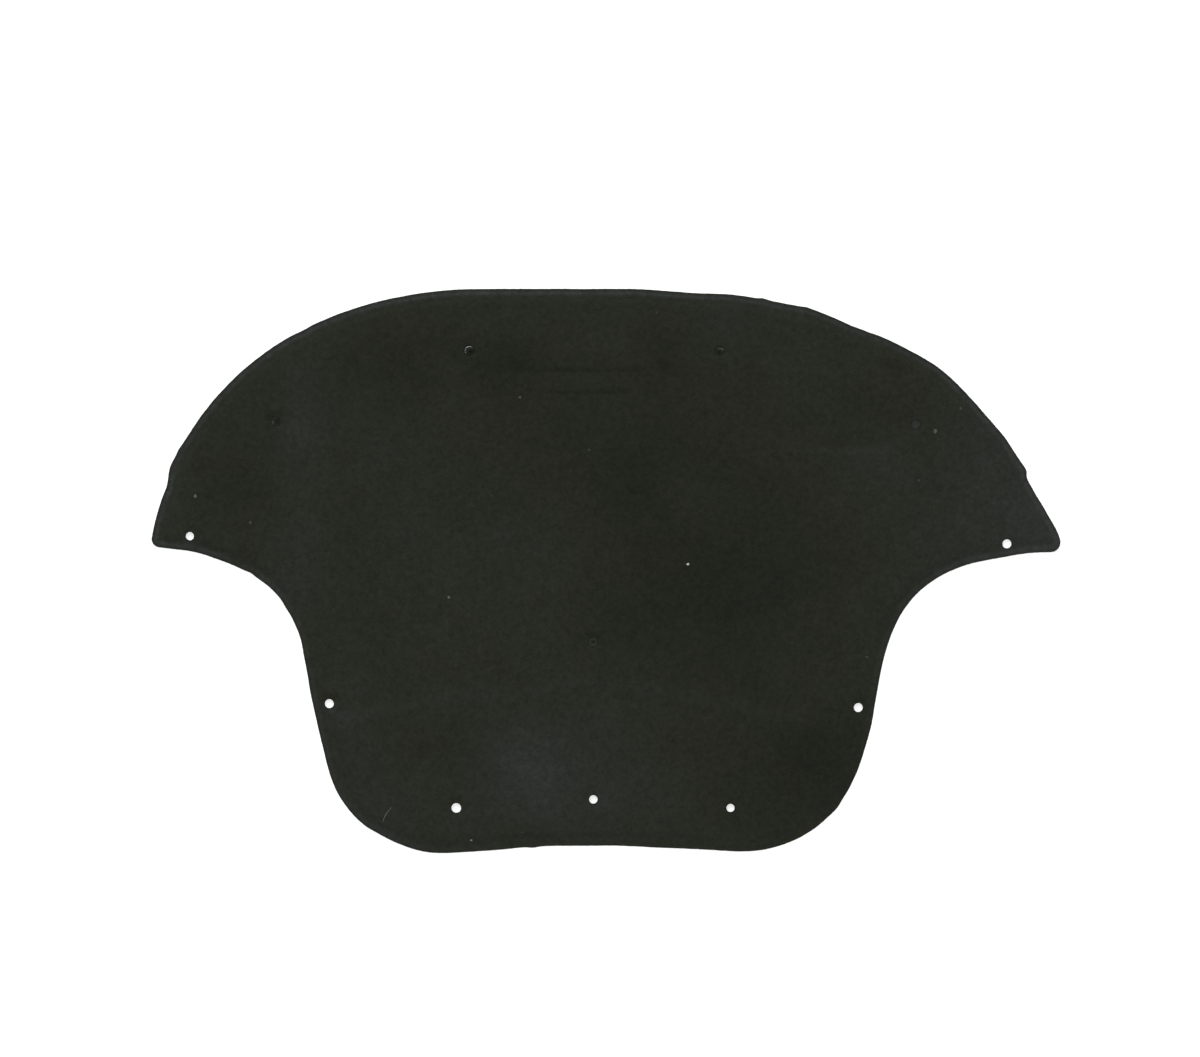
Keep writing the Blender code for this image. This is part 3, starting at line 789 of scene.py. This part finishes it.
def buildPad():
    topPlan, topDepth, topFaces, topEdge = planMesh(pad["faceStep"], pad["rimRings"], pad["holeRings"])
    backPlan, backDepth, backFaces, backEdge = planMesh(pad["backStep"], pad["backRings"], pad["backHoleRings"])
    topHeight = faceHeight(topPlan, topDepth)
    backNear = np.minimum(backDepth, np.maximum(holeReach(backPlan), 0))
    backHeight = pad["backRound"] * np.clip(1 - backNear / pad["backRings"][0], 0, 1)
    verts = [np.column_stack([topPlan, topHeight]), np.column_stack([backPlan, backHeight])]
    tone = [faceTone(topPlan, topDepth), np.full(len(backPlan), pad["backTone"])]
    pressed = [1 - shoulderShare(topDepth), np.zeros(len(backPlan))]
    faces = [*topFaces.tolist(), *(backFaces[:, ::-1] + len(topPlan)).tolist()]
    count = len(topPlan) + len(backPlan)
    for loop in wallLoops():
        upper = [topEdge[n] for n in loop]
        lower = [len(topPlan) + backEdge[n] for n in loop]
        rows = [upper]
        ring = topPlan[upper]
        isOutline = len(loop) == len(outline)
        outward = -inwardOf(ring) if isOutline else inwardOf(ring)
        for row in range(1, pad["wallRows"]):
            share = row / pad["wallRows"]
            heights = topHeight[upper] * (1 - share) + pad["backRound"] * share
            ragged = sum(ripple(ring, pitch, seed + row) for pitch, seed in pad["wallRipples"]) * pad["wallRagged"]
            bulge = pad["wallBulge"] * math.sin(math.pi * share)
            shifted = ring + outward * (ragged + bulge)[:, None]
            verts.append(np.column_stack([shifted, heights]))
            tone.append(np.full(len(loop), pad["wallTone"]))
            pressed.append(np.zeros(len(loop)))
            rows.append(list(range(count, count + len(loop))))
            count += len(loop)
        rows.append(lower)
        for above, below in zip(rows, rows[1:]):
            for n in range(len(loop)):
                after = (n + 1) % len(loop)
                quad = [above[n], below[n], below[after], above[after]]
                faces.append(quad[::-1] if flipWalls or not isOutline else quad)
    masks = {"tone": np.concatenate(tone), "pressed": np.concatenate(pressed)}
    return newPiece("felt_pad", np.vstack(verts), faces, blackFelt, masks)


flipWalls = (outline[:, 0] * np.roll(outline[:, 1], -1) - outline[:, 1] * np.roll(outline[:, 0], -1)).sum() < 0
feltPad = buildPad()
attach(feltPad, "root")
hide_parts("hood_pad")
print("pad made:", len(feltPad.data.polygons), "faces")


# the slugs themselves

slug = {
    "thickness": 0.0030,
    "sink": 0.0002,
    "clearance": 0.0003,
    "bridgeWidth": 0.0048,
    "bridgeThickness": 0.0012,
    "bridgeRise": 0.0003,
    "bridgeReach": 0.0016,
    "bridgeRoot": 0.0010,
    "sides": 40,
    "bridgeRound": 0.0003,
    "bridgeTone": 0.6,
    "raggedPerMetre": 900,
    "profile": (
        (0.0, 0.5), (0.15, 0.5), (0.3, 0.5), (0.45, 0.5), (0.6, 0.495), (0.74, 0.485), (0.86, 0.465), (0.95, 0.40),
        (1.0, 0.26), (1.01, 0.0), (1.01, -0.36), (0.99, -0.47), (0.92, -0.5), (0.3, -0.5), (0.0, -0.5),
    ),
    "pilotProfile": (
        (0.0, 0.06), (0.1, 0.14), (0.2, 0.34), (0.27, 0.47), (0.33, 0.5), (0.45, 0.5), (0.6, 0.495), (0.74, 0.485),
        (0.86, 0.465), (0.95, 0.40), (1.0, 0.26), (1.01, 0.0), (1.01, -0.36), (0.99, -0.47), (0.92, -0.5),
        (0.3, -0.5), (0.0, -0.5),
    ),
}


def lathed(profile, radius, height, sides):
    verts, faces = [Vector((0, 0, profile[0][1] * height))], []
    for out, up in profile[1:-1]:
        for turn in range(sides):
            angle = 2 * math.pi * turn / sides
            verts.append(Vector((out * radius * math.cos(angle), out * radius * math.sin(angle), up * height)))
    verts.append(Vector((0, 0, profile[-1][1] * height)))
    last = len(verts) - 1
    for turn in range(sides):
        after = (turn + 1) % sides
        faces.append((0, 1 + turn, 1 + after))
        faces.append((last, last - sides + after, last - sides + turn))
        for row in range(len(profile) - 3):
            here, below = 1 + row * sides, 1 + (row + 1) * sides
            faces.append((here + turn, below + turn, below + after, here + after))
    return verts, faces


def slugTone(spot, style):
    # lighter and darker places on the slug's face, from the middle of its hole: mostly painted highlights where
    # its edges catch the light and painted shade where it dips into its hole
    tone = style["tone"]
    for x, y, wide, high, lighter in style["marks"]:
        tone *= 1 + lighter * math.exp(-(((spot[0] - x) / wide) ** 2) - ((spot[1] - y) / high) ** 2)
    return tone


def hangSlug(name, style):
    centre, radius = min(holes, key=lambda hole: np.linalg.norm(hole[0] - style["near"]))
    diameter = 2 * (radius - style["kerf"])
    along = diameter * style["oval"]
    room = pad["thickness"] - slug["thickness"] - slug["sink"] - slug["clearance"]
    tilt = math.asin(style["swing"] * room / along)
    lean = slug["thickness"] * math.sin(tilt)
    under = pad["thickness"] - slug["sink"] - slug["thickness"] * math.cos(tilt)
    turned = Matrix.Rotation(math.radians(style["bridge"]), 4, "Z")
    wall = Matrix.Translation((*centre, 0)) @ turned @ Matrix.Translation((radius, 0, 0))
    hinge = Matrix.Translation((min(lean, 0), 0, under))
    swung = wall @ hinge @ Matrix.Rotation(-tilt, 4, "Y")
    swung = swung @ Matrix.Translation((-along / 2, 0, slug["thickness"] / 2))
    swung = swung @ Matrix.Scale(style["oval"], 4, (1, 0, 0))
    profile = slug["pilotProfile"] if style.get("pilot") else slug["profile"]
    verts, faces = lathed(profile, diameter / 2, slug["thickness"], slug["sides"])
    tones = [slugTone((swung @ v).xy - Vector(centre), style) for v in verts]
    seed = Vector((*centre, 0)) * 50
    shape = bmesh.new()
    made = [
        shape.verts.new(swung @ (v + style["ragged"] * noise.noise_vector(v * slug["raggedPerMetre"] + seed)))
        for v in verts
    ]
    for face in faces:
        shape.faces.new([made[n] for n in face])
    size = (slug["bridgeReach"] + slug["bridgeRoot"], slug["bridgeWidth"], slug["bridgeThickness"])
    level = under + slug["bridgeRise"] + slug["bridgeThickness"] / 2
    middle = Matrix.Translation(((slug["bridgeRoot"] - slug["bridgeReach"]) / 2, 0, level))
    web = bmesh.ops.create_cube(shape, size=1.0, matrix=wall @ middle @ Matrix.Diagonal((*size, 1)))
    webEdges = list({edge for vert in web["verts"] for edge in vert.link_edges})
    bmesh.ops.bevel(shape, geom=webEdges, offset=slug["bridgeRound"], segments=2, affect="EDGES")
    shape.verts.ensure_lookup_table()
    bmesh.ops.recalc_face_normals(shape, faces=shape.faces)
    verts = [vert.co[:] for vert in shape.verts]
    faces = [[vert.index for vert in face.verts] for face in shape.faces]
    shape.free()
    tones += [slug["bridgeTone"]] * (len(verts) - len(tones))
    masks = {"tone": tones, "pressed": [0.0] * len(verts)}
    piece = newPiece("slug_" + name, verts, faces, blackFelt, masks)
    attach(piece, "root")
    return swung, diameter / 2


slugFaces = [hangSlug(name, style) for name, style in hangingSlugs.items()]
print("slugs hung:", len(slugFaces))


# loose fibres, lint and one hair

fibres = {
    "edgeCount": 2400,
    "edgeLength": (0.0007, 0.0024),
    "edgeLean": 1.2,
    "edgeRoots": (0.0006, 0.0026),
    "rootDepth": 0.0002,
    "holeCount": 16,
    "holeLength": (0.0004, 0.0012),
    "slugCount": 26,
    "slugLength": (0.0007, 0.0026),
    "slugSpread": 0.75,
    "slugRise": 0.12,
    "faceCount": 5200,
    "faceLength": (0.0022, 0.0085),
    "facePoints": 6,
    "faceTurn": 1.5,
    "faceSway": 0.5,
    "faceLift": 0.00011,
    "faceSit": 0.00004,
    "rimClear": 0.006,
    "edgeClear": 0.001,
    "holeClear": 0.0012,
    "thickness": (0.00002, 0.00005),
    "tone": (0.9, 4.0),
}

lintLook = {
    "colour": (0.62, 0.61, 0.56),
    "roughness": 0.9,
    "specular": 0.2,
    "sheen": 0.0,
    "sheenRoughness": 0.5,
    "clumpsPerMetre": 900.0,
}

# a crumb's flatness, middle size, lumps by fineness and size, and the height it sits at
crumbs = {
    "flatness": 0.36,
    "middle": 0.93,
    "lumps": ((3.1, 0.5), (8.3, 0.4)),
    "rise": 0.1,
}

# crumbs of lint on the face: where, how wide, how pale, how long for its width, turned by how many degrees
lintSpots = (
    (0.0982, 0.0082, 0.0029, 0.80, 1.1, 40),
    (-0.4926, 0.0898, 0.0042, 0.165, 1.1, 70),
    (-0.4265, 0.0582, 0.0035, 0.088, 1.2, 10),
    (-0.1034, 0.2082, 0.0034, 0.115, 1.0, 0),
    (-0.1886, -0.0316, 0.0031, 0.19, 1.2, 120),
    (-0.0201, 0.1453, 0.0034, 0.065, 1.0, 0),
    (0.0612, 0.3102, 0.0027, 0.065, 1.0, 0),
    (0.3948, 0.1675, 0.0047, 0.14, 1.5, 90),
    (0.4253, 0.1950, 0.0036, 0.088, 1.1, 30),
    (0.3750, 0.1086, 0.0032, 0.072, 1.0, 0),
    (0.3130, -0.1032, 0.0033, 0.078, 1.2, 150),
    (-0.1614, -0.3228, 0.0022, 0.36, 1.1, 60),
    (-0.1004, -0.3134, 0.0015, 0.10, 1.0, 0),
    (-0.1374, 0.0906, 0.0016, 0.07, 1.0, 0),
)

# the fluff that sticks out of each crumb
fluff = {
    "count": 26,
    "reach": (0.45, 0.95),
    "thickness": 0.00005,
    "start": 0.30,
}

hair = {
    "path": ((-0.2682, -0.3018), (-0.2660, -0.2960), (-0.2625, -0.2895), (-0.2562, -0.2826)),
    "thickness": 0.0005,
    "tone": 0.26,
    "rise": 0.0002,
}


def strands(name, paths, radii, tones, materialMade, maskName="tone"):
    # thin three-sided threads that taper to their ends
    verts, faces, mask = [], [], []
    for path, radius, tone in zip(paths, radii, tones):
        path = np.asarray(path)
        ahead = np.gradient(path, axis=0)
        ahead /= np.linalg.norm(ahead, axis=1)[:, None] + 1e-12
        side = np.cross(ahead, (0.31, 0.17, 0.93))
        side /= np.linalg.norm(side, axis=1)[:, None] + 1e-12
        rise = np.cross(ahead, side)
        start = len(verts)
        for n, point in enumerate(path):
            width = radius * (0.35 + 0.65 * math.sin(math.pi * (n + 0.5) / len(path)))
            for turn in range(3):
                angle = 2 * math.pi * turn / 3
                verts.append(point + width * (math.cos(angle) * side[n] + math.sin(angle) * rise[n]))
                mask.append(tone)
        for n in range(len(path) - 1):
            for turn in range(3):
                after = (turn + 1) % 3
                here, there = start + 3 * n, start + 3 * (n + 1)
                faces.append((here + turn, here + after, there + after, there + turn))
        end = start + 3 * (len(path) - 1)
        faces.append((start, start + 2, start + 1))
        faces.append((end, end + 1, end + 2))
    masks = {maskName: mask}
    if maskName == "tone":
        masks["pressed"] = [0.0] * len(mask)
    piece = newPiece(name, verts, faces, materialMade, masks)
    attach(piece, "root")


def between(limits, share):
    return limits[0] + (limits[1] - limits[0]) * share


def edgeFibrePaths():
    paths = []
    for _ in range(fibres["edgeCount"]):
        n = dice.randrange(len(outline))
        out = -inward[n]
        along = np.array([-out[1], out[0]])
        lean = dice.uniform(-fibres["edgeLean"], fibres["edgeLean"])
        heading = np.array([*(out * math.cos(lean) + along * math.sin(lean)), dice.uniform(-0.25, 0.45)])
        curl = np.array([*(along * dice.uniform(-0.5, 0.5)), dice.uniform(-0.4, 0.3)])
        length = between(fibres["edgeLength"], dice.random() ** 2)
        root = np.array([*(outline[n] - out * fibres["rootDepth"]), dice.uniform(*fibres["edgeRoots"])])
        paths.append([root + length * (t * heading + t * t * curl) for t in (0, 0.5, 1)])
    return paths


def holeFibrePaths():
    paths = []
    for centre, radius in holes:
        for _ in range(fibres["holeCount"]):
            angle = dice.uniform(0, 2 * math.pi)
            out = np.array([math.cos(angle), math.sin(angle)])
            spot = centre + out * (radius + fibres["rootDepth"])
            depth, _ = nearest(edgeTree, [spot])
            top = pad["rimThickness"] + (pad["thickness"] - pad["rimThickness"]) * shoulderShare(depth[0])
            root = np.array([*spot, dice.uniform(0.15, 0.85) * (top - 0.001)])
            along = np.array([-out[1], out[0]])
            heading = np.array([*(-out + along * dice.uniform(-0.8, 0.8)), dice.uniform(-0.3, 0.5)])
            length = between(fibres["holeLength"], dice.random())
            paths.append([root + length * t * heading for t in (0, 0.5, 1)])
    return paths


def slugFibrePaths():
    paths = []
    for swung, radius in slugFaces:
        for _ in range(fibres["slugCount"]):
            angle, reach = dice.uniform(0, 2 * math.pi), fibres["slugSpread"] * radius * math.sqrt(dice.random())
            root = np.array([reach * math.cos(angle), reach * math.sin(angle), slug["thickness"] * 0.49])
            turn = dice.uniform(0, 2 * math.pi)
            heading = np.array([math.cos(turn), math.sin(turn), dice.uniform(0.0, fibres["slugRise"])])
            curl = np.array([-heading[1], heading[0], 0]) * dice.uniform(-0.4, 0.4)
            length = between(fibres["slugLength"], dice.random() ** 2)
            line = [root + length * (t * heading + t * t * curl) for t in (0, 0.33, 0.67, 1)]
            paths.append([np.array(swung @ Vector(point)) for point in line])
    return paths


def faceFibrePaths():
    low, high = outline.min(axis=0), outline.max(axis=0)
    shares = np.linspace(0, 1, fibres["facePoints"])
    flat = []
    while len(flat) < fibres["faceCount"]:
        x, y = dice.uniform(low[0], high[0]), dice.uniform(low[1], high[1])
        hit = edgeTree.find((x, y, 0))
        n = hit[1] % len(outline)
        inside = np.dot(np.array([x, y]) - outline[n], inward[n]) > 0
        angle = dice.uniform(0, 2 * math.pi)
        bend, sway = dice.uniform(-1, 1) * fibres["faceTurn"], dice.uniform(-1, 1) * fibres["faceSway"]
        length = between(fibres["faceLength"], dice.random() ** 1.5)
        if not inside or hit[2] < fibres["rimClear"]:
            continue
        turns = angle + bend * shares[1:] + sway * np.sin(2 * math.pi * shares[1:])
        strides = length / len(turns) * np.column_stack([np.cos(turns), np.sin(turns)])
        flat.append(np.vstack([(x, y), (x, y) + np.cumsum(strides, axis=0)]))
    spots = np.array(flat).reshape(-1, 2)
    depth, number = nearest(edgeTree, spots)
    sideOf = ((spots - outline[number % len(outline)]) * inward[number % len(outline)]).sum(axis=1)
    heights = faceHeight(spots, depth) + fibres["faceSit"]
    lift = np.tile(fibres["faceLift"] * np.sin(math.pi * shares), len(flat))
    clear = (sideOf > fibres["edgeClear"]) & (holeReach(spots) > fibres["holeClear"])
    paths = np.column_stack([spots, heights + lift]).reshape(len(flat), -1, 3)
    return [path for path, free in zip(paths, clear.reshape(len(flat), -1)) if free.all()]


edgePaths = edgeFibrePaths() + holeFibrePaths() + slugFibrePaths()
facePaths = faceFibrePaths()
for name, paths in (("edge_fibres", edgePaths), ("face_fibres", facePaths)):
    radii = [between(fibres["thickness"], dice.random()) for _ in paths]
    tones = [between(fibres["tone"], dice.random() ** 2) for _ in paths]
    strands(name, paths, radii, tones, blackFelt)
print("fibres laid:", len(edgePaths), "at the edges and", len(facePaths), "on the face")


def lintMaterial(look):
    made, tree, shader = newMaterial("paleLint", look)
    place = tree.nodes.new("ShaderNodeTexCoord").outputs["Object"]
    clumps = noiseNode(tree, place, look["clumpsPerMetre"], 3.0, 0.6)
    shade = mathNode(tree, "MULTIPLY", mathNode(tree, "ADD", clumps, 0.5), maskNode(tree, "pale"))
    colour = tree.nodes.new("ShaderNodeRGB")
    colour.outputs[0].default_value = (*look["colour"], 1)
    tree.links.new(scaled(tree, colour.outputs[0], shade), shader.inputs["Base Color"])
    return made


paleLint = lintMaterial(lintLook)


def lintCrumbs():
    verts, faces, pale = [], [], []
    crumb = bmesh.new()
    bmesh.ops.create_icosphere(crumb, subdivisions=3, radius=0.5)
    crumb.verts.ensure_lookup_table()
    ball = [vert.co.copy() for vert in crumb.verts]
    ballFaces = [[vert.index for vert in face.verts] for face in crumb.faces]
    crumb.free()
    spots = np.array([spot[:2] for spot in lintSpots])
    depth, _ = nearest(edgeTree, spots)
    heights = faceHeight(spots, depth)
    for (x, y, wide, light, long, degrees), height in zip(lintSpots, heights):
        start = len(verts)
        turned = Matrix.Rotation(math.radians(degrees), 3, "Z")
        seed = Vector((x, y, 0)) * 90
        for v in ball:
            lump = crumbs["middle"]
            for fineness, size in crumbs["lumps"]:
                lump += size * noise.noise(v * fineness + seed)
            drawn = Vector((v.x * math.sqrt(long), v.y / math.sqrt(long), v.z * crumbs["flatness"]))
            shaped = turned @ drawn * lump * wide
            verts.append((x + shaped.x, y + shaped.y, height + crumbs["rise"] * wide + shaped.z))
            pale.append(light)
        faces += [[start + n for n in face] for face in ballFaces]
    piece = newPiece("lint_crumbs", verts, faces, paleLint, {"pale": pale})
    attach(piece, "root")
    return heights


def lintFluff(heights):
    paths, tones = [], []
    for (x, y, wide, light, _, _), height in zip(lintSpots, heights):
        for _ in range(fluff["count"]):
            angle, bend = dice.uniform(0, 2 * math.pi), dice.uniform(-1.1, 1.1)
            out = np.array([math.cos(angle), math.sin(angle), dice.uniform(-0.05, 0.35)])
            side = np.array([-out[1], out[0], -0.1]) * bend
            reach = wide * between(fluff["reach"], dice.random() ** 2)
            root = np.array([x, y, height + 0.12 * wide])
            shares = np.linspace(fluff["start"], 1, 5)[:, None]
            paths.append(root + reach * (shares * out + (shares - fluff["start"]) ** 2 * side))
            tones.append(light * dice.uniform(0.6, 1.2))
    strands("lint_fluff", paths, [fluff["thickness"]] * len(paths), tones, paleLint, "pale")


def lyingHair():
    line = foldPath(hair["path"])[::6]
    depth, _ = nearest(edgeTree, line)
    heights = faceHeight(line, depth) + hair["rise"]
    path = np.column_stack([line, heights])
    strands("lying_hair", [path], [hair["thickness"]], [hair["tone"]], paleLint, "pale")


lintFluff(lintCrumbs())
lyingHair()
print("lint and hair laid")


# floor, light and camera

studio = {
    "floorSize": 14.0,
    "floorDrop": 0.0003,
    "floorColour": (0.86, 0.86, 0.86),
    "floorGlow": 0.60,
    "ambient": 0.72,
    "sunStrength": 1.05,
    "sunElevation": 54,
    "sunAzimuth": 15,
    "sunAngle": 24,
    "cameraPlace": (-0.0072, 0.0510, 6.004),
    "lens": 150.0,
}


def showsWhite(tree, strength, otherwise):
    # one strength for what the camera, gloss and glass see, another for the light on the object
    path = tree.nodes.new("ShaderNodeLightPath")
    seen = mathNode(tree, "MAXIMUM", path.outputs["Is Camera Ray"], path.outputs["Is Glossy Ray"])
    seen = mathNode(tree, "MAXIMUM", seen, path.outputs["Is Transmission Ray"])
    return mathNode(tree, "MULTIPLY_ADD", seen, strength - otherwise, otherwise)


def makeFloor():
    half = studio["floorSize"] / 2
    mesh = bpy.data.meshes.new("studio_floor")
    mesh.from_pydata([(-half, -half, 0), (half, -half, 0), (half, half, 0), (-half, half, 0)], [], [(0, 1, 2, 3)])
    floor = bpy.data.objects.new("studio_floor", mesh)
    bpy.context.scene.collection.objects.link(floor)
    floor.location.z = -studio["floorDrop"]
    made = bpy.data.materials.new("studioFloor")
    made.use_nodes = True
    shader = made.node_tree.nodes["Principled BSDF"]
    shader.inputs["Base Color"].default_value = (*studio["floorColour"], 1)
    shader.inputs["Roughness"].default_value = 1.0
    shader.inputs["Specular IOR Level"].default_value = 0.0
    shader.inputs["Emission Color"].default_value = (1, 1, 1, 1)
    glow = showsWhite(made.node_tree, studio["floorGlow"], 0.0)
    made.node_tree.links.new(glow, shader.inputs["Emission Strength"])
    mesh.materials.append(made)


def makeLight():
    world = bpy.data.worlds.new("studio")
    bpy.context.scene.world = world
    world.use_nodes = True
    back = world.node_tree.nodes["Background"]
    back.inputs["Color"].default_value = (1, 1, 1, 1)
    strength = showsWhite(world.node_tree, 1.0, studio["ambient"])
    world.node_tree.links.new(strength, back.inputs["Strength"])
    lamp = bpy.data.lights.new("softKey", "SUN")
    lamp.energy = studio["sunStrength"]
    lamp.angle = math.radians(studio["sunAngle"])
    key = bpy.data.objects.new("softKey", lamp)
    azimuth, elevation = math.radians(studio["sunAzimuth"]), math.radians(studio["sunElevation"])
    level = math.cos(elevation)
    toLamp = Vector((-math.sin(azimuth) * level, math.cos(azimuth) * level, math.sin(elevation)))
    key.rotation_euler = toLamp.to_track_quat("Z", "Y").to_euler()
    bpy.context.scene.collection.objects.link(key)


def makeCamera():
    lens = bpy.data.cameras.new("overhead")
    lens.type = "PERSP"
    lens.lens = studio["lens"]
    lens.sensor_width = 36.0
    camera = bpy.data.objects.new("overhead", lens)
    camera.location = studio["cameraPlace"]
    bpy.context.scene.collection.objects.link(camera)
    bpy.context.scene.camera = camera


makeFloor()
makeLight()
makeCamera()
bpy.context.scene.view_settings.view_transform = "Standard"
print("studio set")
